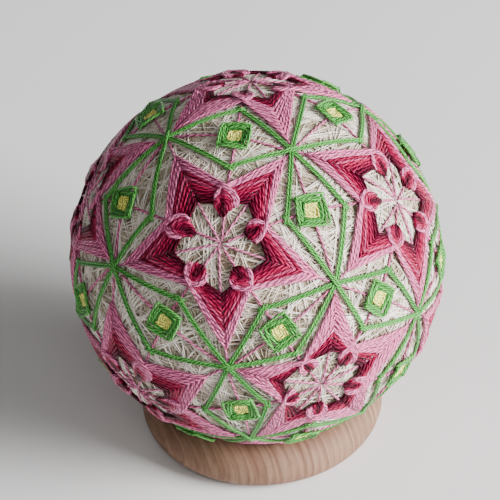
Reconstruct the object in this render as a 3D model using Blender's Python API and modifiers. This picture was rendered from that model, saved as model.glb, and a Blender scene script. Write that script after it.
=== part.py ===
"""A temari ball, wound from thread and stitched all over, in its turned wooden ring.

Twelve five-pointed stars, thirty small squares and a net of lines lie on the wound ball, each a
raised pad of thread that follows the ball's surface. Lengths are in metres and +Z is up. The
origin is on the floor, under the middle of the ring and of the ball.
"""
import math
from collections import namedtuple
from itertools import combinations, permutations

import bmesh
import bpy
from mathutils import Matrix, Vector

MM = 0.001
MERGE_DISTANCE = 0.01 * MM
UP = Vector((0.0, 0.0, 1.0))

# The wound ball, without its stitching. Its lowest ring of faces is the flat spot.
BALL_RADIUS = 38.4 * MM
BALL_SEGMENTS = 40
BALL_RINGS = 20

# Every stitched pad lies this far off the ball, so that it is a piece of its own.
PAD_GAP = 0.72 * MM
PAD_RADIUS = BALL_RADIUS + PAD_GAP

# The first star faces forwards and up, and the others lie evenly round it.
FIRST_STAR_AZIMUTH = math.radians(-106.0)
FIRST_STAR_HEIGHT = math.radians(45.5)
TURN_ABOUT_FIRST_STAR = math.radians(43.5)
NEIGHBOUR_ANGLE = math.radians(75.0)

# The ball was divided by hand, so some places are off their even ones, to the east and the north
# as seen from outside. A crossing or a square is known by the numbers of the stars round it.
Shift = namedtuple("Shift", "stars east_mm north_mm")
HAND_SHIFTS = (
    Shift((1,), 0.5, -1.0),
    Shift((2,), -2.5, 2.0),
    Shift((3,), -1.0, 0.5),
    Shift((4,), -1.0, -0.5),
    Shift((6,), -1.5, -3.5),
    Shift((1, 4, 5), -2.5, 1.5),
    Shift((1, 3, 4), -1.0, 1.0),
    Shift((1, 5, 6), -1.5, 3.0),
    Shift((1, 2, 3), 1.5, -1.0),
    Shift((1, 2, 6), 2.0, -1.0),
    Shift((2, 6, 11), 2.5, 0.5),
    Shift((1, 4), 0.0, 1.5),
    Shift((3, 4), 2.0, 0.0),
    Shift((1, 3), -1.0, 1.5),
    Shift((1, 5), -3.5, 0.0),
    Shift((1, 6), 0.5, 2.5),
    Shift((1, 2), 1.0, -2.0),
    Shift((2, 6), 3.5, 1.0),
)

# A star, in angles from its middle. All its arms have one length, unless that would bring them too
# near a crossing. The cream petals end at the arms' inner points, and a knot stands on each line
# between two arms, back to a share of the way to the square there. Beside each knot the thread is
# low again, at a share of the way to it.
STAR_TIP_REACH = math.radians(33.3)
STAR_TIP_GAP = math.radians(3.2)
PETAL_REACH = math.radians(15.5)
KNOT_FRONT = math.radians(8.5)
KNOT_BACK_SHARE = 0.56
STAR_COLUMNS_PER_ARM = 4
KNOT_EDGE_SHARE = 0.64
StarRow = namedtuple("StarRow", "share arm_mm side_mm knot_mm")
STAR_ROWS = (
    StarRow(0.00, 0.45, 0.45, 0.80),
    StarRow(0.35, 0.60, 0.60, 1.40),
    StarRow(0.75, 0.65, 0.60, 1.20),
    StarRow(1.00, 0.40, 0.40, 0.60),
)

# A square, by how far its corners reach from its middle, with a dimple inside a raised frame.
SquareRow = namedtuple("SquareRow", "reach_mm height_mm")
SQUARE_ROWS = (
    SquareRow(0.0, 0.50),
    SquareRow(2.4, 0.55),
    SquareRow(3.7, 0.95),
    SquareRow(4.5, 0.40),
)

# The net: a rhombus round each square. Its blunt corners lie at a share of the way from the stars
# on both sides to the square, and by hand some came out nearer or further. These are known by the
# numbers of the star that they are next to and of the star beyond the square.
NET_WIDTH = 1.0 * MM
NET_HEIGHT = 0.75 * MM
NET_CROSSING_HEIGHT = 0.95 * MM
NET_CORNER_SHARE = 0.68
UNEVEN_CORNER_SHARES = {
    (1, 2): 0.72,
    (1, 3): 0.695,
    (1, 5): 0.66,
    (1, 6): 0.70,
    (2, 1): 0.64,
    (2, 6): 0.655,
    (3, 1): 0.65,
    (3, 2): 0.70,
    (3, 4): 0.64,
    (4, 1): 0.64,
    (4, 3): 0.65,
    (4, 5): 0.72,
    (5, 1): 0.64,
    (5, 6): 0.64,
    (6, 1): 0.66,
    (6, 5): 0.71,
}
NET_STEPS = 3

# The ring's round section, with a narrow flat underneath.
RING_PATH_RADIUS = 21.7 * MM
RING_TUBE_RADIUS = 4.8 * MM
RING_FLAT_HALF = 1.2 * MM
RING_SECTION_SIDES = 11
RING_STEPS = 40

# The ring touches the stitching this far from the ball's middle, less the gap between pieces.
SEAT_REACH = 40.37 * MM
SEAT_GAP = 0.3 * MM
RING_CENTRE_HEIGHT = math.sqrt(RING_TUBE_RADIUS**2 - RING_FLAT_HALF**2)
BALL_HEIGHT = RING_CENTRE_HEIGHT + math.sqrt(
    (SEAT_REACH + RING_TUBE_RADIUS + SEAT_GAP) ** 2 - RING_PATH_RADIUS**2
)

SHARP_ANGLE = math.radians(30.0)
COLOURS = {
    "wound_thread": (0.70, 0.66, 0.58, 1.0),
    "star_thread": (0.42, 0.05, 0.13, 1.0),
    "green_thread": (0.10, 0.38, 0.08, 1.0),
    "ring_beech": (0.55, 0.33, 0.22, 1.0),
}


def clear_scene():
    for item in list(bpy.data.objects):
        bpy.data.objects.remove(item, do_unlink=True)


def compass(place):
    """East and north on the ball at a place, as seen from outside."""
    east = UP.cross(place).normalized()
    return east, place.cross(east)


def bearing_to(place, target):
    """Angle from east, counter-clockwise, in which a target lies from a place."""
    east, north = compass(place)
    return math.atan2(target.dot(north), target.dot(east))


def step(place, bearing, reach):
    """The place reached by going an angle over the ball along a bearing."""
    east, north = compass(place)
    heading = math.cos(bearing) * east + math.sin(bearing) * north
    return math.cos(reach) * place + math.sin(reach) * heading


def between(start, end, share):
    """The place at a share of the way from one place to another."""
    return start.lerp(end, share).normalized()


def hand_shift(place, stars):
    """A place moved by its row in the table of hand shifts, if it has one."""
    numbers = tuple(star + 1 for star in stars)
    for row in HAND_SHIFTS:
        if row.stars == numbers:
            east, north = compass(place)
            return (place * BALL_RADIUS + (row.east_mm * east + row.north_mm * north) * MM).normalized()
    return place


def star_places():
    """Middles of the twelve stars: one, a ring of five, a ring of five, and the opposite one."""
    ring_height = math.atan(0.5)
    even = [UP.copy()]
    for height, start in ((ring_height, 0.0), (-ring_height, math.radians(36.0))):
        for number in range(5):
            turn = start + math.radians(72.0 * number)
            flat = math.cos(height)
            even.append(Vector((flat * math.cos(turn), flat * math.sin(turn), math.sin(height))))
    even.append(-UP)
    pose = (
        Matrix.Rotation(FIRST_STAR_AZIMUTH, 3, "Z")
        @ Matrix.Rotation(math.pi / 2 - FIRST_STAR_HEIGHT, 3, "Y")
        @ Matrix.Rotation(TURN_ABOUT_FIRST_STAR, 3, "Z")
    )
    return [hand_shift(pose @ place, (number,)) for number, place in enumerate(even)]


def groups_of_neighbours(stars, size):
    """Middle place of each group of stars that all lie next to each other, by their numbers."""
    groups = {}
    for numbers in combinations(range(len(stars)), size):
        if all(stars[a].angle(stars[b]) < NEIGHBOUR_ANGLE for a, b in combinations(numbers, 2)):
            middle = sum((stars[number] for number in numbers), Vector()).normalized()
            groups[numbers] = hand_shift(middle, numbers)
    return groups


def add_sheet(mesh, columns, rows, place_point):
    """A grid of faces laid on the ball: place_point(column, row) gives a place and a height."""
    height = mesh.verts.layers.float["height"]
    grid = bmesh.ops.create_grid(mesh, x_segments=columns, y_segments=rows, size=0.5)
    for point in grid["verts"]:
        column = round((point.co.x + 0.5) * columns)
        row = round((point.co.y + 0.5) * rows)
        place, point[height] = place_point(column, row)
        point.co = place * PAD_RADIUS


def new_sheet():
    mesh = bmesh.new()
    mesh.verts.layers.float.new("height")
    return mesh


def raise_sheet(mesh):
    """Close an open sheet into a pad: a copy of it is raised, each point by its own height."""
    height = mesh.verts.layers.float["height"]
    bmesh.ops.remove_doubles(mesh, verts=mesh.verts, dist=MERGE_DISTANCE)
    raised = bmesh.ops.extrude_face_region(mesh, geom=mesh.faces)
    for point in raised["geom"]:
        if isinstance(point, bmesh.types.BMVert):
            point.co += point.co.normalized() * point[height]
    bmesh.ops.recalc_face_normals(mesh, faces=mesh.faces)


def finish_mesh(mesh, name, material):
    data = bpy.data.meshes.new(name)
    mesh.to_mesh(data)
    mesh.free()
    data.shade_smooth()
    data.set_sharp_from_angle(angle=SHARP_ANGLE)
    data.materials.append(material)
    return bpy.data.objects.new(name, data)


def make_material(name, roughness):
    material = bpy.data.materials.new(name)
    material.use_nodes = True
    shader = material.node_tree.nodes["Principled BSDF"]
    shader.inputs["Base Color"].default_value = COLOURS[name]
    shader.inputs["Roughness"].default_value = roughness
    shader.inputs["Metallic"].default_value = 0.0
    return material


def make_ball(material):
    """The wound ball, flat where it would lie."""
    mesh = bmesh.new()
    bmesh.ops.create_uvsphere(mesh, u_segments=BALL_SEGMENTS, v_segments=BALL_RINGS, radius=BALL_RADIUS)
    flat_height = -BALL_RADIUS * math.cos(math.pi / BALL_RINGS)
    for point in mesh.verts:
        point.co.z = max(point.co.z, flat_height)
    return finish_mesh(mesh, "wound_ball", material)


def star_rim(star, crossings, squares):
    """Bearings and outer angles of a star's five arms and five knots, in turn round it."""
    first = bearing_to(star, crossings[0])

    def turn_from_first(place):
        return (bearing_to(star, place) - first) % (2.0 * math.pi)

    arms = sorted(crossings, key=turn_from_first)
    knots = sorted(squares, key=turn_from_first)
    rim = []
    for arm, knot in zip(arms, knots):
        tip = min(STAR_TIP_REACH, star.angle(arm) - STAR_TIP_GAP)
        rim.append((bearing_to(star, arm), PETAL_REACH, tip))
        rim.append((bearing_to(star, knot), KNOT_FRONT, star.angle(knot) * KNOT_BACK_SHARE))
    return rim


def make_star(name, star, crossings, squares, material):
    """A star's thread as one ring-shaped pad: five pointed arms with a raised knot between them."""
    rim = star_rim(star, crossings, squares)
    columns = STAR_COLUMNS_PER_ARM * len(crossings)

    def rim_place(number, share):
        bearing, inner, outer = rim[number % len(rim)]
        return between(step(star, bearing, inner), step(star, bearing, outer), share)

    def place_point(column, row):
        data = STAR_ROWS[row]
        number, beside = divmod(column, 2)
        at_knot = number % 2 == 1
        here = rim_place(number, data.share)
        if beside:
            share = 1.0 - KNOT_EDGE_SHARE if at_knot else KNOT_EDGE_SHARE
            return between(here, rim_place(number + 1, data.share), share), data.side_mm * MM
        return here, (data.knot_mm if at_knot else data.arm_mm) * MM

    mesh = new_sheet()
    add_sheet(mesh, columns, len(STAR_ROWS) - 1, place_point)
    raise_sheet(mesh)
    return finish_mesh(mesh, name, material)


def make_square(name, square, star, material):
    """A small stitched square, its sides across the line to the star beside it."""
    first_corner = bearing_to(square, star) + math.pi / 4

    def place_point(column, row):
        data = SQUARE_ROWS[row]
        corner = first_corner + column * math.pi / 2
        return step(square, corner, data.reach_mm * MM / BALL_RADIUS), data.height_mm * MM

    mesh = new_sheet()
    add_sheet(mesh, 4, len(SQUARE_ROWS) - 1, place_point)
    raise_sheet(mesh)
    return finish_mesh(mesh, name, material)


def edge_point(corner, first, second, side):
    """Where the edges of two lines meet at their corner, on one side or the other."""
    middle = bearing_to(corner, between(first, second, 0.5))
    opening = (bearing_to(corner, first) - bearing_to(corner, second)) % (2.0 * math.pi)
    opening = min(opening, 2.0 * math.pi - opening)
    reach = NET_WIDTH / 2 / math.sin(opening / 2) / PAD_RADIUS
    return step(corner, middle, side * reach)


def net_corner(stars, squares, star, beyond):
    """The net's blunt corner between a star and the square that lies towards the star beyond."""
    share = UNEVEN_CORNER_SHARES.get((star + 1, beyond + 1), NET_CORNER_SHARE)
    return between(stars[star], squares[min(star, beyond), max(star, beyond)], share)


def make_net(stars, crossings, squares, material):
    """The net of lines as one pad: six lines meet at a crossing, and two at a blunt corner."""
    mesh = new_sheet()
    for group, crossing in crossings.items():
        lines = []
        for star, beyond in permutations(group, 2):
            pair = (min(star, beyond), max(star, beyond))
            lines.append((net_corner(stars, squares, star, beyond), pair))
        lines.sort(key=lambda line: bearing_to(crossing, line[0]))
        corners = [corner for corner, pair in lines]
        next_corners = corners[1:] + corners[:1]
        hub = [edge_point(crossing, *pair, 1.0) for pair in zip(corners, next_corners)]
        middle = bmesh.ops.create_circle(mesh, cap_ends=True, segments=len(hub), radius=NET_WIDTH)
        height = mesh.verts.layers.float["height"]
        for point, place in zip(middle["verts"], hub):
            point.co = place * PAD_RADIUS
            point[height] = NET_CROSSING_HEIGHT
        for number, (corner, pair) in enumerate(lines):
            far = next(place for key, place in crossings.items() if key != group and set(pair) <= set(key))
            inner = edge_point(corner, crossing, far, 1.0)
            outer = edge_point(corner, crossing, far, -1.0)
            square_on_left = crossing.cross(corner).dot(squares[pair]) > 0.0
            right_left = ((hub[number - 1], outer if square_on_left else inner),
                          (hub[number], inner if square_on_left else outer))

            def place_point(column, row, ends=right_left):
                raised = NET_CROSSING_HEIGHT if column == 0 else NET_HEIGHT
                return between(*ends[row], column / NET_STEPS), raised

            add_sheet(mesh, NET_STEPS, 1, place_point)
    raise_sheet(mesh)
    return finish_mesh(mesh, "green_net", material)


def make_ring(material):
    """The turned ring: its section, flat underneath, swept once round."""
    flat_angle = math.asin(RING_FLAT_HALF / RING_TUBE_RADIUS)
    first = -math.pi / 2 - flat_angle
    sweep = 2.0 * math.pi - 2.0 * flat_angle
    section = bmesh.new()
    corners = []
    for number in range(RING_SECTION_SIDES + 1):
        angle = first - sweep * number / RING_SECTION_SIDES
        x = RING_PATH_RADIUS + RING_TUBE_RADIUS * math.cos(angle)
        z = RING_CENTRE_HEIGHT + RING_TUBE_RADIUS * math.sin(angle)
        corners.append(section.verts.new((x, 0.0, z)))
    for number, corner in enumerate(corners):
        section.edges.new((corner, corners[(number + 1) % len(corners)]))
    data = bpy.data.meshes.new("ring_stand")
    section.to_mesh(data)
    section.free()
    data.materials.append(material)
    ring = bpy.data.objects.new("ring_stand", data)
    turn = ring.modifiers.new("turned", "SCREW")
    turn.axis = "Z"
    turn.angle = 2.0 * math.pi
    turn.steps = RING_STEPS
    turn.render_steps = RING_STEPS
    turn.use_merge_vertices = True
    turn.merge_threshold = MERGE_DISTANCE
    turn.use_smooth_shade = True
    return ring


clear_scene()
collection = bpy.data.collections.new("temari_ball")
bpy.context.scene.collection.children.link(collection)

ball_centre = bpy.data.objects.new("ball_centre", None)
ball_centre.location = (0.0, 0.0, BALL_HEIGHT)
collection.objects.link(ball_centre)

wound_thread = make_material("wound_thread", 0.8)
star_thread = make_material("star_thread", 0.55)
green_thread = make_material("green_thread", 0.55)
ring_beech = make_material("ring_beech", 0.5)

star_list = star_places()
crossing_places = groups_of_neighbours(star_list, 3)
square_places = groups_of_neighbours(star_list, 2)

stitched = [make_ball(wound_thread)]
for index, middle in enumerate(star_list):
    its_crossings = [place for group, place in crossing_places.items() if index in group]
    its_squares = [place for group, place in square_places.items() if index in group]
    stitched.append(make_star(f"star_{index + 1:02d}", middle, its_crossings, its_squares, star_thread))
for index, (group, middle) in enumerate(square_places.items()):
    stitched.append(make_square(f"square_{index + 1:02d}", middle, star_list[group[0]], green_thread))
stitched.append(make_net(star_list, crossing_places, square_places, green_thread))

for piece in stitched:
    piece.parent = ball_centre
    collection.objects.link(piece)
collection.objects.link(make_ring(ring_beech))
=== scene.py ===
import math
import random
from collections import namedtuple
from itertools import combinations, permutations

import bmesh
import bpy
from mathutils import Matrix, Vector


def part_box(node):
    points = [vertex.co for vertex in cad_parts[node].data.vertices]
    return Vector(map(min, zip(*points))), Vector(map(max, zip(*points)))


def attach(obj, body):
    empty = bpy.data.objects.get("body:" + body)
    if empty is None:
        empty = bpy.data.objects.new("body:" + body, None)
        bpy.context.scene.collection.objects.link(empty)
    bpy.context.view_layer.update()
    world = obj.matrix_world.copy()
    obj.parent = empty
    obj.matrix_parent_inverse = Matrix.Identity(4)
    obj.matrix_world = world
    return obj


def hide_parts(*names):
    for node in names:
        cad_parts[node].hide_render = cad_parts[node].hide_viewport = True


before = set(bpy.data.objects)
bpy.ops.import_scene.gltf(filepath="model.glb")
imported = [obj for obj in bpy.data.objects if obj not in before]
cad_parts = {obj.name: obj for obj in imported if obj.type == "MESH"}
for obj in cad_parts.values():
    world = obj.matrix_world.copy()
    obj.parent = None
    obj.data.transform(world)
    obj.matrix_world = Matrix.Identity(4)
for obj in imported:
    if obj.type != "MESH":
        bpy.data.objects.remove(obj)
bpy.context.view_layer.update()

MM = 0.001

# The wound ball: a core of wadding rolled up in yarn until it is round and firm. Only a little
# of it shows, in the gaps between the fine threads that are wound over it, and its dull dark tan
# is painted shade for those gaps.
ball_low, ball_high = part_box("wound_ball")
BALL_RADIUS = (ball_high.x - ball_low.x) / 2
BALL_CENTRE = Vector((
    (ball_low.x + ball_high.x) / 2,
    (ball_low.y + ball_high.y) / 2,
    ball_high.z - BALL_RADIUS,
))
BALL_COLUMNS = 96
BALL_ROWS = 48
FLAT_SPOT_RADIUS = 6.0 * MM
YARN_SPACING = 1.1 * MM
YARN_RIDGE = 0.2 * MM


def linear(display_colour):
    """A display colour such as #DAD3C4 as linear red, green, blue and alpha."""
    shares = [int(display_colour[n:n + 2], 16) / 255 for n in (1, 3, 5)]
    return tuple(s / 12.92 if s <= 0.04045 else ((s + 0.055) / 1.055) ** 2.4 for s in shares) + (1.0,)


def add_node(tree, kind, inputs=(), **settings):
    """Adds a node with its settings. An input is given a value, or another node's output."""
    node = tree.nodes.new(kind)
    for name, value in settings.items():
        setattr(node, name, value)
    for socket, value in dict(inputs).items():
        if isinstance(value, bpy.types.NodeSocket):
            tree.links.new(value, node.inputs[socket])
        else:
            node.inputs[socket].default_value = value
    return node


def new_material(name, **finish):
    """A material with its node tree and its shader, whose constant sockets are set by name."""
    material = bpy.data.materials.new(name)
    material.use_nodes = True
    tree = material.node_tree
    shader = tree.nodes["Principled BSDF"]
    for socket, value in finish.items():
        shader.inputs[socket.replace("_", " ")].default_value = value
    return material, tree, shader


def colour_ramp(tree, factor, stops, interpolation="LINEAR"):
    """A ramp through display colours, given as (position, colour)."""
    ramp = add_node(tree, "ShaderNodeValToRGB", {"Fac": factor})
    ramp.color_ramp.interpolation = interpolation
    while len(ramp.color_ramp.elements) < len(stops):
        ramp.color_ramp.elements.new(1.0)
    for element, (position, colour) in zip(ramp.color_ramp.elements, stops):
        element.position = position
        element.color = linear(colour)
    return ramp.outputs["Color"]


def show(piece, nodes=()):
    """Puts a finished piece in the scene under the root body, and hides the solids that it stands for."""
    if piece.name not in bpy.context.scene.collection.objects:
        bpy.context.scene.collection.objects.link(piece)
    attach(piece, "root")
    if nodes:
        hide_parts(*nodes)


def yarn_ground():
    """Matt wool yarn under the winding, with soft ridges where the turns lie, in a dull dark tan that is
    painted shade for the gaps between the threads, darker still where the ridges are low as painted shade in
    their hollows.
    """
    material, tree, shader = new_material("matt_wool_yarn_painted_shade", Roughness=0.9)
    coords = add_node(tree, "ShaderNodeTexCoord").outputs["Object"]
    ridges = add_node(tree, "ShaderNodeTexNoise",
                      {"Vector": coords, "Scale": 1 / YARN_SPACING, "Detail": 3.0}).outputs["Fac"]
    # painted shade: a dark tan for the gaps between the threads, darker where the ridges are low
    colour = colour_ramp(tree, ridges, [(0.35, "#6E5E4C"), (0.65, "#A89882")])
    tree.links.new(colour, shader.inputs["Base Color"])
    bump = add_node(tree, "ShaderNodeBump", {"Height": ridges, "Distance": YARN_RIDGE})
    tree.links.new(bump.outputs["Normal"], shader.inputs["Normal"])
    return material


core = bmesh.new()
bmesh.ops.create_uvsphere(core, u_segments=BALL_COLUMNS, v_segments=BALL_ROWS, radius=BALL_RADIUS)
flat_height = -math.sqrt(BALL_RADIUS**2 - FLAT_SPOT_RADIUS**2)
for point in core.verts:
    point.co.z = max(point.co.z, flat_height)
bmesh.ops.translate(core, verts=core.verts, vec=BALL_CENTRE)
core_mesh = bpy.data.meshes.new("ball_core")
core.to_mesh(core_mesh)
core.free()
core_mesh.shade_smooth()
core_mesh.materials.append(yarn_ground())
show(bpy.data.objects.new("ball_core", core_mesh), ["wound_ball"])

# The winding: fine cream sewing thread wound round and round the ball at random, a few turns side
# by side and then off another way. It gives the pale ground, with every thread showing. The lower
# layers are coloured darker than the top one, as painted shade under the upper turns.
WINDING_THICKNESS = 0.29 * MM
WEAVE = 0.13 * MM
WANDER = 0.05 * MM
DRIFT = 0.02
WINDING_UNEVEN = (0.85, 1.1)
NEXT_TURN_DEGREES = (0.5, 1.0)
# How many turns each layer has, how many of them lie side by side at most, how far off the yarn they
# lie, into how many steps a turn is cut, and how many sides its thread has
Layer = namedtuple("Layer", "name turns most_together low_mm high_mm steps sides")
LAYERS = (
    Layer("winding_deep", 420, 5, 0.00, 0.12, 40, 3),
    Layer("winding_under", 400, 3, 0.18, 0.32, 80, 3),
    Layer("winding_over", 270, 3, 0.38, 0.54, 120, 3),
)
THREAD_END = 0.02
LONGEST_START = 200.0 * MM
MERGE_WITHIN = 0.012 * MM
Run = namedtuple("Run", "points thicknesses tone closed")
thread_groups = {}


def reckon(tree, operation, *values):
    """The result of a sum on values or on other nodes' outputs."""
    return add_node(tree, "ShaderNodeMath", dict(enumerate(values)), operation=operation).outputs[0]


def carried_value(tree, name):
    """A value that every point of a thread carries, read by its name."""
    return add_node(tree, "GeometryNodeInputNamedAttribute",
                    {"Name": name}, data_type="FLOAT").outputs["Attribute"]


def carry_value(tree, geometry, name, value, **settings):
    """A shape that carries one more value, under a name."""
    return add_node(tree, "GeometryNodeStoreNamedAttribute",
                    {"Geometry": geometry, "Name": name, "Value": value}, **settings).outputs[0]


def thread_group(sides):
    """Nodes that draw a thread with so many sides along every run of points, closed at its ends.

    The map on it holds the length along the thread in metres and the share of the way round it. The
    length starts from a value of each thread's own, so that no two twists lie in step.
    """
    if sides in thread_groups:
        return thread_groups[sides]
    tree = bpy.data.node_groups.new(f"thread_of_{sides}_sides", "GeometryNodeTree")
    tree.interface.new_socket("Geometry", in_out="INPUT", socket_type="NodeSocketGeometry")
    tree.interface.new_socket("Geometry", in_out="OUTPUT", socket_type="NodeSocketGeometry")
    drawn = tree.nodes.new("NodeGroupInput").outputs[0]
    line = add_node(tree, "GeometryNodeMeshToCurve", {"Mesh": drawn}).outputs[0]
    length = add_node(tree, "GeometryNodeSplineParameter").outputs["Length"]
    length = reckon(tree, "ADD", length, carried_value(tree, "start"))
    line = carry_value(tree, line, "along", length, data_type="FLOAT")
    # an open arc all the way round keeps the map's two edges apart until its points are merged
    section = add_node(tree, "GeometryNodeCurveArc",
                       {"Resolution": sides + 1, "Radius": 0.5, "Sweep Angle": 2 * math.pi}).outputs[0]
    share = add_node(tree, "GeometryNodeSplineParameter").outputs["Factor"]
    section = carry_value(tree, section, "around", share, data_type="FLOAT")
    thickness = carried_value(tree, "thickness")
    skin = add_node(tree, "GeometryNodeCurveToMesh",
                    {"Curve": line, "Profile Curve": section, "Scale": thickness}).outputs[0]
    along, around = carried_value(tree, "along"), carried_value(tree, "around")
    both = add_node(tree, "ShaderNodeCombineXYZ", {"X": along, "Y": around}).outputs[0]
    skin = carry_value(tree, skin, "UVMap", both, data_type="FLOAT2", domain="CORNER")
    merged = add_node(tree, "GeometryNodeMergeByDistance",
                      {"Geometry": skin, "Distance": MERGE_WITHIN}).outputs[0]
    tree.links.new(merged, tree.nodes.new("NodeGroupOutput").inputs[0])
    thread_groups[sides] = tree
    return tree


def spin_threads(name, runs, sides, material):
    """One piece made of threads, each drawn along its run of points from the ball's middle."""
    points, edges, thicknesses, tones, starts = [], [], [], [], []
    chance = random.Random(len(runs))
    for run in runs:
        first, count = len(points), len(run.points)
        starts.extend([chance.uniform(0, LONGEST_START)] * count)
        points.extend(BALL_CENTRE + point for point in run.points)
        thicknesses.extend(run.thicknesses)
        tones.extend([run.tone] * count)
        edges.extend((first + n, first + n + 1) for n in range(count - 1))
        if run.closed:
            edges.append((first + count - 1, first))
    drawn = bpy.data.meshes.new(name + "_runs")
    drawn.from_pydata(points, edges, [])
    for attribute, values in (("thickness", thicknesses), ("tone", tones), ("start", starts)):
        drawn.attributes.new(attribute, "FLOAT", "POINT").data.foreach_set("value", values)
    guide = bpy.data.objects.new(name + "_runs", drawn)
    bpy.context.scene.collection.objects.link(guide)
    guide.modifiers.new("thread", "NODES").node_group = thread_group(sides)
    mesh = bpy.data.meshes.new_from_object(guide.evaluated_get(bpy.context.evaluated_depsgraph_get()))
    mesh.name = name
    bpy.data.objects.remove(guide)
    bpy.data.meshes.remove(drawn)
    mesh.shade_smooth()
    mesh.materials.clear()
    mesh.materials.append(material)
    return bpy.data.objects.new(name, mesh)


def sewing_thread(name, stops):
    """Fine spun thread with a gleam, each turn a little lighter or darker."""
    material, tree, shader = new_material(name, Roughness=0.3, Specular_IOR_Level=0.9)
    tone = add_node(tree, "ShaderNodeAttribute", attribute_name="tone").outputs["Fac"]
    colour = colour_ramp(tree, tone, stops)
    tree.links.new(colour, shader.inputs["Base Color"])
    return material


def wound_turn(chance, axis, radius, steps):
    """One turn round the ball, nearly a great circle, that rises over some turns and dips under others."""
    start = axis.orthogonal().normalized()
    across = axis.cross(start)
    drift = chance.uniform(-DRIFT, DRIFT)
    phase = chance.uniform(0, 2 * math.pi)
    points = []
    for n in range(steps):
        angle = 2 * math.pi * n / steps
        aside = drift * math.sin(2 * angle + phase) + chance.uniform(-WANDER, WANDER) / radius
        place = math.cos(angle) * start + math.sin(angle) * across + aside * axis
        points.append(place.normalized() * (radius + chance.uniform(-WEAVE, WEAVE)))
    thickness = WINDING_THICKNESS * chance.uniform(*WINDING_UNEVEN)
    return Run(points, [thickness] * steps, chance.random(), True)


# One cream thread in every layer, painted darker the deeper the layer lies: painted shade under the upper
# turns. Within a layer the tone differs at random from turn to turn.
winding_colours_shaded_by_depth = {
    "winding_deep": [(0.0, "#86725A"), (1.0, "#B6A48C")],
    "winding_under": [(0.0, "#AE9C82"), (1.0, "#E0D4C0")],
    "winding_over": [(0.0, "#C8B6A0"), (0.35, "#F4E8DA"), (1.0, "#FFF9F0")],
}
chance = random.Random(11)
for layer in LAYERS:
    turns = []
    while len(turns) < layer.turns:
        axis = Vector([chance.gauss(0, 1) for n in range(3)]).normalized()
        tilt = Vector([chance.gauss(0, 1) for n in range(3)]).cross(axis).normalized()
        for n in range(chance.randint(2, layer.most_together)):
            lean = Matrix.Rotation(math.radians(n * chance.uniform(*NEXT_TURN_DEGREES)), 3, tilt)
            height = chance.uniform(layer.low_mm, layer.high_mm) * MM
            turns.append(wound_turn(chance, lean @ axis, BALL_RADIUS + height, layer.steps))
    material = sewing_thread(layer.name + "_thread", winding_colours_shaded_by_depth[layer.name])
    show(spin_threads(layer.name, turns, layer.sides, material))

# The marking threads: single pink threads pinned round the ball before it is stitched, which divide
# it into twelve pentagons. They show in the stars' middles and beside the squares.
MARKING_THICKNESS = 0.54 * MM
MARKING_SIDES = 5
MARKING_STRAY = 0.4 * MM
STRAY_SPREAD = 0.5
MARKING_HEIGHT = BALL_RADIUS + 0.76 * MM
STEP_ANGLE = math.radians(2.6)
CROSSING_TO_SQUARE_TONE = 0.4
STAR_TO_CROSSING_TONE = 0.7
STAR_TO_SQUARE_TONE = 0.2
FIBRE_LENGTH = 1.5 * MM
SLACK_LENGTH = 3.0 * MM
SLACK_TURN = 0.6
PLY_WAVE = (-1.0, 0.4)
FIBRE_SPREAD = (0.3, 0.7)
# How light a groove and a ply are, as shares of the dye: painted shade in the grooves and a painted
# highlight on the plies. How light a dark and a pale fibre are, as shares of the dye: partly the
# fibres' own tone and partly painted highlight streaks.
GROOVE_SHADE_TO_PLY_HIGHLIGHT = (0.34, 1.14)
FIBRE_TONE_AND_SHEEN = (0.7, 1.3)
# Where the painted gleam begins and is full, how strong it is, and how pale its tint: a painted highlight
# added to each thread's colour
GLEAM_BETWEEN = (0.8, 1.35)
GLEAM = 0.36
GLEAM_PALENESS = 0.65
FIBRE_RELIEF = 0.4
THREAD_RELIEF = 0.09 * MM
UP = Vector((0.0, 0.0, 1.0))
FIRST_STAR_AZIMUTH = math.radians(-106.0)
FIRST_STAR_HEIGHT = math.radians(45.5)
TURN_ABOUT_FIRST_STAR = math.radians(43.5)
NEIGHBOUR_ANGLE = math.radians(75.0)
# How far a place is off its even one, to the east and the north. A crossing or a square is known by
# the numbers of the stars round it.
Shift = namedtuple("Shift", "stars east_mm north_mm")
HAND_SHIFTS = (
    Shift((1,), 0.5, -1.0),
    Shift((2,), -2.5, 2.0),
    Shift((3,), -1.0, 0.5),
    Shift((4,), -1.0, -0.5),
    Shift((6,), -1.5, -3.5),
    Shift((1, 4, 5), -2.5, 1.5),
    Shift((1, 3, 4), -1.0, 1.0),
    Shift((1, 5, 6), -1.5, 3.0),
    Shift((1, 2, 3), 1.5, -1.0),
    Shift((1, 2, 6), 2.0, -1.0),
    Shift((2, 6, 11), 2.5, 0.5),
    Shift((1, 4), 0.0, 1.5),
    Shift((3, 4), 2.0, 0.0),
    Shift((1, 3), -1.0, 1.5),
    Shift((1, 5), -3.5, 0.0),
    Shift((1, 6), 0.5, 2.5),
    Shift((1, 2), 1.0, -2.0),
    Shift((2, 6), 3.5, 1.0),
)


def compass(place):
    """East and north on the ball at a place, as seen from outside."""
    east = UP.cross(place).normalized()
    return east, place.cross(east)


def bearing_to(place, target):
    """Angle from east, counter-clockwise, in which a target lies from a place."""
    east, north = compass(place)
    return math.atan2(target.dot(north), target.dot(east))


def step(place, bearing, reach):
    """The place reached by going an angle over the ball along a bearing."""
    east, north = compass(place)
    heading = math.cos(bearing) * east + math.sin(bearing) * north
    return math.cos(reach) * place + math.sin(reach) * heading


def beside(place, bearing, reach, side):
    """The place reached by going along a bearing and then aside, to the left of it."""
    east, north = compass(place)
    heading = math.cos(bearing) * east + math.sin(bearing) * north
    return (step(place, bearing, reach) + math.tan(side) * place.cross(heading)).normalized()


def between(start, end, share):
    """The place at a share of the way from one place to another."""
    return start.lerp(end, share).normalized()


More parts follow.
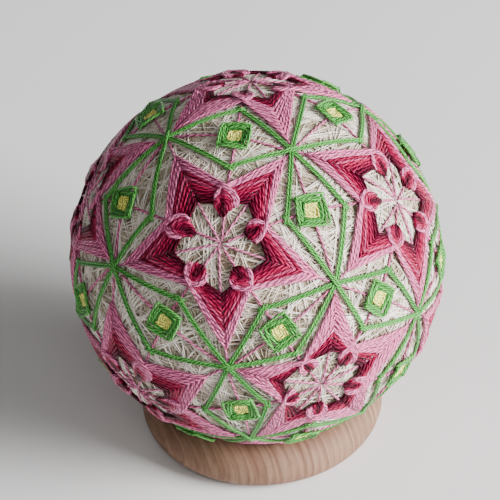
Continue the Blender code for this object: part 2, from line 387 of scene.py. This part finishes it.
def hand_shift(place, stars):
    """A place moved by its row in the table of hand shifts, if it has one."""
    numbers = tuple(star + 1 for star in stars)
    for row in HAND_SHIFTS:
        if row.stars == numbers:
            east, north = compass(place)
            return (place * BALL_RADIUS + (row.east_mm * east + row.north_mm * north) * MM).normalized()
    return place


def star_places():
    """Middles of the twelve stars: one, a ring of five, a ring of five, and the opposite one."""
    ring_height = math.atan(0.5)
    even = [UP.copy()]
    for height, start in ((ring_height, 0.0), (-ring_height, math.radians(36.0))):
        for number in range(5):
            turn = start + math.radians(72.0 * number)
            even.append(Vector((math.cos(height) * math.cos(turn), math.cos(height) * math.sin(turn),
                                math.sin(height))))
    even.append(-UP)
    pose = (
        Matrix.Rotation(FIRST_STAR_AZIMUTH, 3, "Z")
        @ Matrix.Rotation(math.pi / 2 - FIRST_STAR_HEIGHT, 3, "Y")
        @ Matrix.Rotation(TURN_ABOUT_FIRST_STAR, 3, "Z")
    )
    return [hand_shift(pose @ place, (number,)) for number, place in enumerate(even)]


def groups_of_neighbours(stars, size):
    """Middle place of each group of stars that all lie next to each other, by their numbers."""
    groups = {}
    for numbers in combinations(range(len(stars)), size):
        if all(stars[a].angle(stars[b]) < NEIGHBOUR_ANGLE for a, b in combinations(numbers, 2)):
            middle = sum((stars[number] for number in numbers), Vector()).normalized()
            groups[numbers] = hand_shift(middle, numbers)
    return groups


stars = star_places()
crossings = groups_of_neighbours(stars, 3)
squares = groups_of_neighbours(stars, 2)


def rescale(tree, value, old, new):
    """A value moved from an old range into a new one, and held inside it."""
    return add_node(tree, "ShaderNodeMapRange", {
        "Value": value, "From Min": old[0], "From Max": old[1],
        "To Min": new[0], "To Max": new[1]}).outputs[0]


def pearl_cotton(name, dyes, plies, twist, interpolation="LINEAR"):
    """Mercerised cotton of a few plies: a painted pale gleam (a painted highlight) on each slanted ply, and
    painted shade in the grooves between, over a bump of the same relief.

    The tone of each thread picks its dye, and a twist is the length in which a ply goes once round.
    """
    material, tree, shader = new_material(name, Roughness=0.38, Specular_IOR_Level=0.6)
    tone = add_node(tree, "ShaderNodeAttribute", attribute_name="tone").outputs["Fac"]
    dye = colour_ramp(tree, tone, dyes, interpolation)
    tree.links.new(dye, shader.inputs["Specular Tint"])
    uv = add_node(tree, "ShaderNodeUVMap", uv_map="UVMap").outputs["UV"]
    along, around = add_node(tree, "ShaderNodeSeparateXYZ", {0: uv}).outputs[:2]
    turns = reckon(tree, "MULTIPLY_ADD", along, 1 / twist, around)
    slack_place = reckon(tree, "MULTIPLY", along, 1 / SLACK_LENGTH)
    slack = add_node(tree, "ShaderNodeTexNoise",
                     {"W": slack_place, "Scale": 1.0}, noise_dimensions="1D").outputs["Fac"]
    turns = reckon(tree, "MULTIPLY_ADD", slack, SLACK_TURN, turns)
    angle = reckon(tree, "MULTIPLY", turns, 2 * math.pi)
    wave = reckon(tree, "SINE", reckon(tree, "MULTIPLY", angle, plies))
    ply = rescale(tree, wave, PLY_WAVE, (0.0, 1.0))
    # the fine fibres turn with the plies, so they are looked up on a rolled-up sheet
    fibre_x = reckon(tree, "COSINE", angle)
    fibre_y = reckon(tree, "SINE", angle)
    fibre_z = reckon(tree, "MULTIPLY", along, 1 / FIBRE_LENGTH)
    place = add_node(tree, "ShaderNodeCombineXYZ", {"X": fibre_x, "Y": fibre_y, "Z": fibre_z}).outputs[0]
    fibres = add_node(tree, "ShaderNodeTexNoise",
                      {"Vector": place, "Scale": 3.0, "Detail": 3.0}).outputs["Fac"]
    # painted shade in the grooves and painted highlight on the plies, as shares of the dye
    shade = rescale(tree, ply, (0.0, 1.0), GROOVE_SHADE_TO_PLY_HIGHLIGHT)
    # fibre streaks: partly the fibres' own tone, partly painted highlight streaks
    streak = rescale(tree, fibres, FIBRE_SPREAD, FIBRE_TONE_AND_SHEEN)
    both = reckon(tree, "MULTIPLY", shade, streak)
    # painted highlight: a pale tint of the dye added where ply and fibres are lightest
    gleam = rescale(tree, both, GLEAM_BETWEEN, (0.0, GLEAM))
    tint = add_node(tree, "ShaderNodeVectorMath",
                    {0: dye, 1: [GLEAM_PALENESS] * 3}, operation="POWER").outputs[0]
    tint = add_node(tree, "ShaderNodeVectorMath", {0: tint, "Scale": gleam}, operation="SCALE").outputs[0]
    colour = add_node(tree, "ShaderNodeVectorMath",
                      {0: dye, 1: both, 2: tint}, operation="MULTIPLY_ADD").outputs[0]
    tree.links.new(colour, shader.inputs["Base Color"])
    relief = reckon(tree, "MULTIPLY_ADD", fibres, FIBRE_RELIEF, ply)
    bump = add_node(tree, "ShaderNodeBump", {"Height": relief, "Distance": THREAD_RELIEF})
    tree.links.new(bump.outputs["Normal"], shader.inputs["Normal"])
    return material


def marking_run(chance, start, end, tone):
    """A thread pulled straight over the ball, a little off its line at both ends."""
    def strayed(place):
        aside = Vector([chance.gauss(0, STRAY_SPREAD) for n in range(3)])
        return (place + aside * MARKING_STRAY / BALL_RADIUS).normalized()

    start, end = strayed(start), strayed(end)
    steps = math.ceil(start.angle(end) / STEP_ANGLE)
    points = [between(start, end, n / steps) * MARKING_HEIGHT for n in range(steps + 1)]
    thicknesses = [MARKING_THICKNESS] * (steps + 1)
    thicknesses[0] = thicknesses[-1] = MARKING_THICKNESS * THREAD_END
    return Run(points, thicknesses, tone, False)


chance = random.Random(2)
marking = []
for group, crossing in crossings.items():
    for pair in combinations(group, 2):
        marking.append(marking_run(chance, crossing, squares[pair], CROSSING_TO_SQUARE_TONE))
    for star in group:
        marking.append(marking_run(chance, stars[star], crossing, STAR_TO_CROSSING_TONE))
for pair, square in squares.items():
    for star in pair:
        marking.append(marking_run(chance, stars[star], square, STAR_TO_SQUARE_TONE))
marking_dyes = [(0.0, "#BC5C84"), (1.0, "#D47CA2")]
marking_cotton = pearl_cotton("pink_marking_cotton", marking_dyes, plies=2, twist=3.0 * MM)
show(spin_threads("marking_threads", marking, MARKING_SIDES, marking_cotton))

# The squares: green pearl cotton stitched in rows round a small pale yellow middle. Each side runs
# past its corner and dips under the next, and no side is quite even, as they were stitched by hand.
STITCH_SIDES = 6
SQUARE_THICKNESS = 0.60 * MM
SQUARE_HEIGHT = BALL_RADIUS + 0.88 * MM
SQUARE_RISE = 0.13 * MM
SQUARE_OVERSHOOT = 0.5 * MM
OVERSHOOT_UNEVEN = (0.2, 1.5)
SQUARE_BOW = 0.32 * MM
HALF_SIDE_UNEVEN_MM = 0.10
SIDE_SLOPE = 0.12
# A side starts this much higher over one corner, and ends this much lower under the next
SIDE_TILT = 0.13 * MM
SIDE_DIP = 0.4 * MM
ROW_TURN = math.radians(4.0)
SIDE_STEPS = 8
# How far four squares that show well are turned, in degrees, against the line to their first star.
# The others are turned at random, by up to so many degrees.
SQUARE_TURNS = {(1, 3): -10.0, (1, 2): -4.0, (1, 5): 12.0, (2, 6): -5.0}
OTHER_SQUARE_TURN = 4.0
SquareRow = namedtuple("SquareRow", "half_side_mm tone")
SQUARE_ROWS = (
    SquareRow(0.28, 0.05),
    SquareRow(0.80, 0.10),
    SquareRow(1.30, 0.15),
    SquareRow(1.74, 0.50),
    SquareRow(2.20, 0.90),
    SquareRow(2.66, 0.65),
    SquareRow(3.10, 0.95),
)


def square_side(chance, square, bearing, row, rise):
    """One side of a row, from past one corner to past the next, where it dips into the ball."""
    half = (row.half_side_mm + chance.uniform(-HALF_SIDE_UNEVEN_MM, HALF_SIDE_UNEVEN_MM)) * MM / BALL_RADIUS
    past = half + SQUARE_OVERSHOOT * chance.uniform(*OVERSHOOT_UNEVEN) / BALL_RADIUS
    slope = chance.uniform(-SIDE_SLOPE, SIDE_SLOPE)
    bow = SQUARE_BOW / BALL_RADIUS
    points, thicknesses = [], []
    for n in range(SIDE_STEPS + 1):
        share = n / SIDE_STEPS
        run = past * (2 * share - 1)
        inward = bow * (2 * share - 1) ** 2
        at_end = n in (0, SIDE_STEPS)
        height = SQUARE_HEIGHT + rise + SIDE_TILT * math.cos(math.pi * share) - (SIDE_DIP if at_end else 0.0)
        points.append(beside(square, bearing, half + slope * run - inward, run) * height)
        thicknesses.append(SQUARE_THICKNESS * (THREAD_END if at_end else 1.0))
    return Run(points, thicknesses, row.tone, False)


chance = random.Random(5)
square_runs = []
for pair, square in squares.items():
    other_turn = chance.uniform(-OTHER_SQUARE_TURN, OTHER_SQUARE_TURN)
    turn = SQUARE_TURNS.get((pair[0] + 1, pair[1] + 1), other_turn)
    across = bearing_to(square, stars[pair[0]]) + math.radians(turn)
    for number, row in enumerate(SQUARE_ROWS):
        row_turn = chance.uniform(-ROW_TURN, ROW_TURN)
        for side in range(4):
            bearing = across + row_turn + side * math.pi / 2
            square_runs.append(square_side(chance, square, bearing, row, number * SQUARE_RISE))
square_dyes = [(0.0, "#F0EE7C"), (0.3, "#D8DA60"), (0.5, "#347830"), (1.0, "#58A44A")]
square_cotton = pearl_cotton("green_and_yellow_cotton", square_dyes, plies=3, twist=3.6 * MM)
show(spin_threads("square_rows", square_runs, STITCH_SIDES, square_cotton),
     [f"square_{n + 1:02d}" for n in range(len(squares))])

# The stars: crimson rows and then pink ones, stitched in herringbone from the middle outwards. Each
# thread runs from an arm's point down to the line between two arms, crosses it, and hooks round
# into a small stitch, so that the crossings pile up into a knot.
STAR_THICKNESS = 0.76 * MM
STAR_HEIGHT = BALL_RADIUS + 1.05 * MM
STAR_ROWS = 10
FIRST_TIP = math.radians(15.2)
TIGHT_FIRST_TIP = math.radians(13.2)
TIGHT_STAR = 2
LAST_TIP_DEGREES = 33.0
# Arms that came out shorter by hand, in degrees, by the star and the three stars at the arm's crossing
SHORT_ARMS = {(1, (1, 2, 3)): 31.0, (1, (1, 2, 6)): 32.0, (3, (1, 2, 3)): 30.8}
TIP_GAP = math.radians(3.6)
FIRST_CROSS = math.radians(12.0)
LAST_CROSS_SHARE = 0.50
FIRST_STITCH = math.radians(8.2)
LAST_STITCH_SHARE = 0.335
FIRST_HOOK = math.radians(0.4)
LAST_HOOK = math.radians(3.3)
FIRST_LIFT = 0.12 * MM
LIFT_PER_ROW = 0.035 * MM
OVER_LIFT = 0.24 * MM
OVER_REACH = math.radians(2.2)
OVER_BREADTH = 1.10
UNDER_BREADTH = 0.80
ROW_JOG = 0.003
BREADTH_UNEVEN = (0.85, 1.15)
HOOK_UNEVEN = (0.84, 1.12)
SWING_UNEVEN = (0.85, 1.15)
FIRST_SWING = 0.15
SWING_GROWTH = 0.65
# Powers over 1 put the rows' tips closer together near the middle, their stitches closer together near
# the end, and a leg's points closer together near its crossing
TIP_POWER = 1.15
STITCH_POWER = 1.5
LEG_POWER = 1.6
PAST_TIP_SHARE = 0.6
TUCKED_SHARE = 0.85
TIP_DIP = 0.3 * MM
STITCH_DIP = 0.45 * MM
# Beside a knot's line its lift begins to fade at one share of the hook and is gone some shares on.
# Along the hook it starts at one share, falls by another, and begins to fall part of the way round.
LIFT_FADE_START = 0.4
LIFT_FADE_LENGTH = 0.8
HOOK_LIFT = 1.15
HOOK_FALL = 0.75
HOOK_FALL_START = 0.45
LEG_STEPS = 9
HOOK_STEPS = 7
# steps of the crimson rows' tones through the ramp, whose innermost stops carry painted shade
DYE_AND_SHADE_STEPS = 10
PINK_TONE = 0.95
PINK_ROWS = {2: 6, 4: 7, 5: 5, 6: 4}
PINK_ROWS_ELSEWHERE = 3


def smooth(share):
    """Eases from 0 to 1 as the share does."""
    share = min(1.0, max(0.0, share))
    return share * share * (3 - 2 * share)


def star_leg(chance, star, arm, first_tip, longest, knot, breadth, row, over):
    """One thread from an arm's point, over the line between the arms, and round to its hooked stitch."""
    share = row / (STAR_ROWS - 1)
    stitch_share = 1 - (1 - share) ** STITCH_POWER
    jog = chance.uniform(-ROW_JOG, ROW_JOG)
    span = star.angle(knot)
    last_tip = min(longest, star.angle(arm) - TIP_GAP)
    tip_reach = first_tip + share**TIP_POWER * (last_tip - first_tip) + jog
    cross_reach = FIRST_CROSS + share * (LAST_CROSS_SHARE * span - FIRST_CROSS) + jog
    stitch_reach = FIRST_STITCH + stitch_share * (LAST_STITCH_SHARE * span - FIRST_STITCH)
    hook = FIRST_HOOK + stitch_share * (LAST_HOOK * breadth - FIRST_HOOK)
    hook *= chance.uniform(*HOOK_UNEVEN)
    line = bearing_to(star, knot)
    arm_bearing = bearing_to(star, arm)
    turn = (arm_bearing - line + math.pi) % (2 * math.pi) - math.pi
    far_side = math.copysign(1.0, -turn)
    tip = step(star, arm_bearing, tip_reach)
    cross = step(star, line, cross_reach)
    stitch = beside(star, line, stitch_reach + 2 * jog, far_side * hook)
    tucked = beside(star, line, stitch_reach + 2 * jog, far_side * hook * TUCKED_SHARE)
    past_tip = (tip + (tip - cross).normalized() * STAR_THICKNESS * PAST_TIP_SHARE / BALL_RADIUS).normalized()
    wide = star.cross(knot).normalized()
    lift = FIRST_LIFT + LIFT_PER_ROW * row

    def height(place, fall):
        on_top = OVER_LIFT * smooth(1 - place.angle(cross) / OVER_REACH) if over else 0.0
        return STAR_HEIGHT + lift * fall + on_top

    points, thicknesses = [past_tip * (STAR_HEIGHT - TIP_DIP)], [STAR_THICKNESS * THREAD_END]
    for n in range(LEG_STEPS + 1):
        place = between(tip, cross, 1 - (1 - n / LEG_STEPS) ** LEG_POWER)
        aside = abs(place.dot(wide)) / hook
        fade = smooth((aside - LIFT_FADE_START) / LIFT_FADE_LENGTH)
        points.append(place * height(place, 1 - fade))
        thicknesses.append(STAR_THICKNESS)
    # the hook swings out past the line, round the pile of earlier ones, and back in to its stitch
    swing = (FIRST_SWING + SWING_GROWTH * stitch_share) * chance.uniform(*SWING_UNEVEN)
    out = cross + (cross - tip).normalized() * (cross - stitch).length * swing
    for n in range(1, HOOK_STEPS + 1):
        part = n / HOOK_STEPS
        place = ((1 - part) ** 2 * cross + 2 * part * (1 - part) * out + part**2 * stitch).normalized()
        fade = smooth((part - HOOK_FALL_START) / (1 - HOOK_FALL_START))
        points.append(place * height(place, HOOK_LIFT - HOOK_FALL * fade))
        thicknesses.append(STAR_THICKNESS)
    points.append(tucked * (STAR_HEIGHT - STITCH_DIP))
    thicknesses.append(STAR_THICKNESS * THREAD_END)
    return points, thicknesses


def star_rows(chance, number):
    """All the rows of one star: two legs to each knot, one over the other."""
    star = stars[number]
    first = bearing_to(star, next(place for group, place in crossings.items() if number in group))

    def turn_from_first(place):
        return (bearing_to(star, place) - first) % (2 * math.pi)

    reaches = {}
    for group, place in crossings.items():
        if number in group:
            names = tuple(neighbour + 1 for neighbour in group)
            degrees = SHORT_ARMS.get((number + 1, names), LAST_TIP_DEGREES)
            reaches[place.freeze()] = math.radians(degrees)
    arms = sorted(reaches, key=turn_from_first)
    knots = sorted((place for group, place in squares.items() if number in group), key=turn_from_first)
    first_tip = TIGHT_FIRST_TIP if number + 1 == TIGHT_STAR else FIRST_TIP
    breadths = [chance.uniform(*BREADTH_UNEVEN) for knot in knots]
    crimson = STAR_ROWS - PINK_ROWS.get(number + 1, PINK_ROWS_ELSEWHERE)
    runs = []
    for row in range(STAR_ROWS):
        tone = (row + 0.5) / DYE_AND_SHADE_STEPS if row < crimson else PINK_TONE
        for n, knot in enumerate(knots):
            for arm, over in ((arms[n], False), (arms[(n + 1) % len(arms)], True)):
                breadth = breadths[n] * (OVER_BREADTH if over else UNDER_BREADTH)
                points, thicknesses = star_leg(
                    chance, star, arm, first_tip, reaches[arm], knot, breadth, row, over)
                runs.append(Run(points, thicknesses, tone, False))
    return runs


# The innermost crimson rows darken step by step towards the middle: partly a darker maroon thread, partly
# painted shade for the hollow by the petals.
star_dyes_and_shade = [(0.0, "#3E0818"), (0.1, "#540A22"), (0.2, "#720E2E"), (0.3, "#8C1238"), (0.4, "#98183E"),
             (0.5, "#A83C60"), (0.6, "#7E1232"), (0.9, "#CA6890")]
star_cotton = pearl_cotton("crimson_and_pink_cotton", star_dyes_and_shade, plies=3, twist=5.4 * MM,
                           interpolation="CONSTANT")
chance = random.Random(3)
for number in range(len(stars)):
    name = f"star_{number + 1:02d}"
    rows = spin_threads(name + "_rows", star_rows(chance, number), STITCH_SIDES, star_cotton)
    show(rows, [name])

# The green net: two strands of green pearl cotton side by side along every line. A line runs from
# one blunt corner straight over a crossing to the next, and ends in a small crossed stitch. By hand
# some corners came out nearer to their star or further, as the numbers of the two stars say.
NET_THICKNESS = 0.56 * MM
NET_HEIGHT = BALL_RADIUS + 1.02 * MM
NET_CORNER_SHARE = 0.68
UNEVEN_CORNER_SHARES = {
    (1, 2): 0.72,
    (1, 3): 0.72,
    (1, 5): 0.66,
    (1, 6): 0.70,
    (2, 1): 0.64,
    (2, 6): 0.68,
    (3, 1): 0.65,
    (3, 2): 0.71,
    (3, 4): 0.64,
    (4, 1): 0.62,
    (4, 3): 0.64,
    (4, 5): 0.72,
    (5, 1): 0.64,
    (5, 6): 0.64,
    (6, 1): 0.66,
    (6, 5): 0.72,
}
NET_STEPS = 12
STRAND_OFFSET = 0.26 * MM
CORNER_OVERSHOOT = 1.5 * MM
CROSSING_RISE = 0.32 * MM
CROSSING_SPREAD = math.radians(3.5)
STRAND_TONES = (0.2, 1.0)
CORNER_UNEVEN = (0.6, 1.2)
CORNER_POINT_SHARES = (1.0, 0.6)
CORNER_LIFT = 0.15 * MM
CORNER_LIFT_POINTS = 3
NET_DIP = 0.6 * MM


def net_corner(star, beyond):
    """The net's blunt corner between a star and the square that lies towards the star beyond."""
    share = UNEVEN_CORNER_SHARES.get((star + 1, beyond + 1), NET_CORNER_SHARE)
    return between(stars[star], squares[min(star, beyond), max(star, beyond)], share)


def net_line(chance, start, crossing, end, level):
    """The two strands of one line, over a crossing at its level in the pile."""
    runs = []
    for side in (-1.0, 1.0):
        tone = chance.uniform(*STRAND_TONES)
        places = []
        for first, last in ((start, crossing), (crossing, end)):
            normal = first.cross(last).normalized() * side * STRAND_OFFSET / NET_HEIGHT
            steps = range(NET_STEPS) if last is crossing else range(NET_STEPS + 1)
            places.extend((between(first, last, n / NET_STEPS) + normal).normalized() for n in steps)
        past = CORNER_OVERSHOOT * chance.uniform(*CORNER_UNEVEN) / NET_HEIGHT
        before, after = (places[0] - places[1]).normalized(), (places[-1] - places[-2]).normalized()
        head = [(places[0] + before * past * share).normalized() for share in CORNER_POINT_SHARES]
        tail = [(places[-1] + after * past * share).normalized() for share in reversed(CORNER_POINT_SHARES)]
        places = head + places + tail
        points, thicknesses = [], []
        for n, place in enumerate(places):
            at_end = n in (0, len(places) - 1)
            near = smooth(1 - place.angle(crossing) / CROSSING_SPREAD)
            corner_lift = CORNER_LIFT * smooth(1 - min(n, len(places) - 1 - n) / CORNER_LIFT_POINTS)
            rise = CROSSING_RISE * level * near + corner_lift - (NET_DIP if at_end else 0.0)
            points.append(place * (NET_HEIGHT + rise))
            thicknesses.append(NET_THICKNESS * (THREAD_END if at_end else 1.0))
        runs.append(Run(points, thicknesses, tone, False))
    return runs


chance = random.Random(8)
net_runs = []
for group, crossing in crossings.items():
    corners = sorted((net_corner(star, beyond) for star, beyond in permutations(group, 2)),
                     key=lambda corner: bearing_to(crossing, corner))
    for level in range(3):
        net_runs.extend(net_line(chance, corners[level], crossing, corners[level + 3], level))
net_dyes = [(0.0, "#3C8238"), (1.0, "#5CA84E")]
net_cotton = pearl_cotton("green_cotton", net_dyes, plies=3, twist=3.0 * MM)
show(spin_threads("net_strands", net_runs, STITCH_SIDES, net_cotton), ["green_net"])

# The ring stand: a plain curtain-ring shape turned from one piece of beech, sanded and left bare,
# with the fine brown flecks and streaks of the grain running across its front.
ring_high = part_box("ring_stand")[1]
RING_TUBE_RADIUS = 4.8 * MM
RING_PATH_RADIUS = ring_high.x - RING_TUBE_RADIUS
RING_FLAT_HALF = 1.2 * MM
RING_SIDES = 36
RING_STEPS = 120
GROWTH_SPACING = 1.7 * MM
# A wave texture's bands lie this far apart at a scale of 1
WAVE_SPACING = math.pi / 10
STREAK_WIDTH = 0.7 * MM
STREAK_LENGTH = 14.0 * MM
FLECK_WIDTH = 0.35 * MM
FLECK_LENGTH = 2.0 * MM
BOARD_TURN = math.radians(24.0)
# Where flecks and growth lines begin and are full, and how light the wood is there
FLECK_RANGE = (0.52, 0.72)
FLECK_SHADE = (1.0, 0.8)
GROWTH_RANGE = (0.3, 1.0)
GROWTH_SHADE = (1.04, 0.8)
GRAIN_RELIEF = 0.04 * MM
WELD_WITHIN = 0.01 * MM


def grain(tree, coords, across, along):
    """Streaks that are thin one way and long the other two ways."""
    stretched = add_node(tree, "ShaderNodeMapping",
                         {"Vector": coords, "Scale": (1 / across, 1 / along, 1 / along)}).outputs[0]
    return add_node(tree, "ShaderNodeTexNoise",
                    {"Vector": stretched, "Scale": 1.0, "Detail": 3.0}).outputs["Fac"]


def turned_beech():
    """Bare sanded beech: fine upright growth layers cut by the turning, with short darker flecks."""
    material, tree, shader = new_material("turned_beech", Roughness=0.7, Specular_IOR_Level=0.25)
    coords = add_node(tree, "ShaderNodeTexCoord").outputs["Object"]
    board = add_node(tree, "ShaderNodeVectorRotate", {"Vector": coords, "Angle": -BOARD_TURN},
                     rotation_type="Z_AXIS").outputs[0]
    bands = {"Vector": board, "Scale": WAVE_SPACING / GROWTH_SPACING, "Distortion": 1.2, "Detail": 2.0,
             "Detail Scale": 1.5}
    layers = add_node(tree, "ShaderNodeTexWave", bands, wave_type="BANDS", bands_direction="X",
                      wave_profile="SAW").outputs["Fac"]
    streaks = grain(tree, board, STREAK_WIDTH, STREAK_LENGTH)
    colour = colour_ramp(tree, streaks, [(0.3, "#7C5C4A"), (0.5, "#8C6C58"), (0.7, "#987A66")])
    flecks = grain(tree, board, FLECK_WIDTH, FLECK_LENGTH)
    dark = rescale(tree, flecks, FLECK_RANGE, FLECK_SHADE)
    line = rescale(tree, layers, GROWTH_RANGE, GROWTH_SHADE)
    both = reckon(tree, "MULTIPLY", dark, line)
    final = add_node(tree, "ShaderNodeVectorMath", {0: colour, "Scale": both}, operation="SCALE").outputs[0]
    tree.links.new(final, shader.inputs["Base Color"])
    bump = add_node(tree, "ShaderNodeBump", {"Height": both, "Distance": GRAIN_RELIEF, "Strength": 0.4})
    tree.links.new(bump.outputs["Normal"], shader.inputs["Normal"])
    return material


ring = bmesh.new()
upright = Matrix.Translation((RING_PATH_RADIUS, 0, 0)) @ Matrix.Rotation(math.pi / 2, 4, "X")
bmesh.ops.create_circle(ring, segments=RING_SIDES, radius=RING_TUBE_RADIUS, matrix=upright)
bmesh.ops.spin(ring, geom=ring.verts[:] + ring.edges[:], cent=(0, 0, 0), axis=(0, 0, 1),
               angle=2 * math.pi, steps=RING_STEPS, use_merge=True)
flat = math.sqrt(RING_TUBE_RADIUS**2 - RING_FLAT_HALF**2)
for point in ring.verts:
    point.co.z = max(point.co.z, -flat)
bmesh.ops.translate(ring, verts=ring.verts, vec=(0, 0, flat))
bmesh.ops.remove_doubles(ring, verts=ring.verts, dist=WELD_WITHIN)
bmesh.ops.recalc_face_normals(ring, faces=ring.faces)
ring_mesh = bpy.data.meshes.new("turned_ring")
ring.to_mesh(ring_mesh)
ring.free()
ring_mesh.shade_smooth()
ring_mesh.materials.append(turned_beech())
show(bpy.data.objects.new("turned_ring", ring_mesh), ["ring_stand"])

# The studio: a plain pale floor, a tall soft window on the right made of a low light and a weaker high one,
# two faint ones for the room, and the camera above the ball at the picture's angle, tipped to one side.
FLOOR_SIZE = 3.0
CAMERA_HEIGHT = math.radians(40.5)
CAMERA_ROLL = math.radians(-2.2)
CAMERA_DISTANCE = 0.864
SENSOR_WIDTH = 36.0
PICTURE_SIZE = 500
BALL_CENTRE_SEEN = (256.8, 257.4)
FOCAL_PIXELS = 4052

floor_mesh = bpy.data.meshes.new("floor")
floor_sheet = bmesh.new()
bmesh.ops.create_grid(floor_sheet, x_segments=1, y_segments=1, size=FLOOR_SIZE / 2)
floor_sheet.to_mesh(floor_mesh)
floor_sheet.free()
floor_material = new_material("pale_floor", Roughness=0.9, Base_Color=linear("#F5F4F3"))[0]
floor_mesh.materials.append(floor_material)
floor = bpy.data.objects.new("floor", floor_mesh)
bpy.context.scene.collection.objects.link(floor)


def soft_light(name, turn, height, distance, size, power):
    """A square soft light that faces the ball, turned from the right and raised by two angles."""
    flat = math.cos(math.radians(height))
    away = Vector((flat * math.cos(math.radians(turn)), flat * math.sin(math.radians(turn)),
                   math.sin(math.radians(height))))
    data = bpy.data.lights.new(name, "AREA")
    data.size = size
    data.energy = power
    light = bpy.data.objects.new(name, data)
    light.location = BALL_CENTRE + away * distance
    light.rotation_euler = away.to_track_quat("Z", "Y").to_euler()
    bpy.context.scene.collection.objects.link(light)


soft_light("window_low", turn=-21, height=19, distance=1.1, size=0.6, power=39.0)
soft_light("window_high", turn=-21, height=38, distance=1.1, size=0.6, power=6.0)
soft_light("room_front", turn=-100, height=50, distance=1.1, size=0.9, power=3.4)
soft_light("room_back", turn=115, height=20, distance=1.1, size=0.7, power=1.2)
world = bpy.data.worlds.new("studio")
world.use_nodes = True
world.node_tree.nodes["Background"].inputs["Color"].default_value = linear("#E8EBF0")
world.node_tree.nodes["Background"].inputs["Strength"].default_value = 0.02
bpy.context.scene.world = world

back = Vector((0, -math.cos(CAMERA_HEIGHT), math.sin(CAMERA_HEIGHT)))
level_up = Vector((0, math.sin(CAMERA_HEIGHT), math.cos(CAMERA_HEIGHT)))
level_right = Vector((1, 0, 0))
right = math.cos(CAMERA_ROLL) * level_right + math.sin(CAMERA_ROLL) * level_up
up = math.cos(CAMERA_ROLL) * level_up - math.sin(CAMERA_ROLL) * level_right
camera_data = bpy.data.cameras.new("camera")
camera_data.sensor_width = SENSOR_WIDTH
camera_data.lens = SENSOR_WIDTH * FOCAL_PIXELS / PICTURE_SIZE
camera_data.shift_x = (PICTURE_SIZE / 2 - BALL_CENTRE_SEEN[0]) / PICTURE_SIZE
camera_data.shift_y = (BALL_CENTRE_SEEN[1] - PICTURE_SIZE / 2) / PICTURE_SIZE
camera = bpy.data.objects.new("camera", camera_data)
pose = Matrix((right, up, back)).transposed().to_4x4()
pose.translation = BALL_CENTRE + back * CAMERA_DISTANCE
camera.matrix_world = pose
bpy.context.scene.collection.objects.link(camera)
bpy.context.scene.camera = camera
